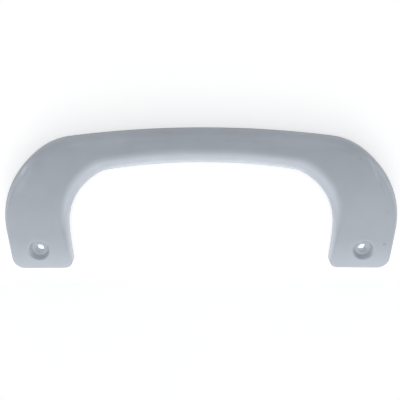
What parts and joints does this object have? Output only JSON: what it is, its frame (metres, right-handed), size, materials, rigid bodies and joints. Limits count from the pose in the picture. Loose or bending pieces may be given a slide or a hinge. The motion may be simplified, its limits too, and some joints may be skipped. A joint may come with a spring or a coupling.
{
  "type": "fridge door handle",
  "caption": "Arched bow handle with wide flat feet, counterbored screw holes and a cored, ribbed back, moulded in one piece of silver-grey plastic.",
  "frame": {"origin": "midway between the two screw holes, on the mounting plane at the back of the feet", "axes": "+X along the handle, +Y from the feet to the grip, +Z out of the mounting plane towards the screw heads"},
  "size_m": [0.3204, 0.12, 0.0155],
  "materials": {
    "silver_plastic": "satin, cool silver grey"
  },
  "bodies": {
    "root": {"door_handle": "silver_plastic"}
  },
  "joints": []
}
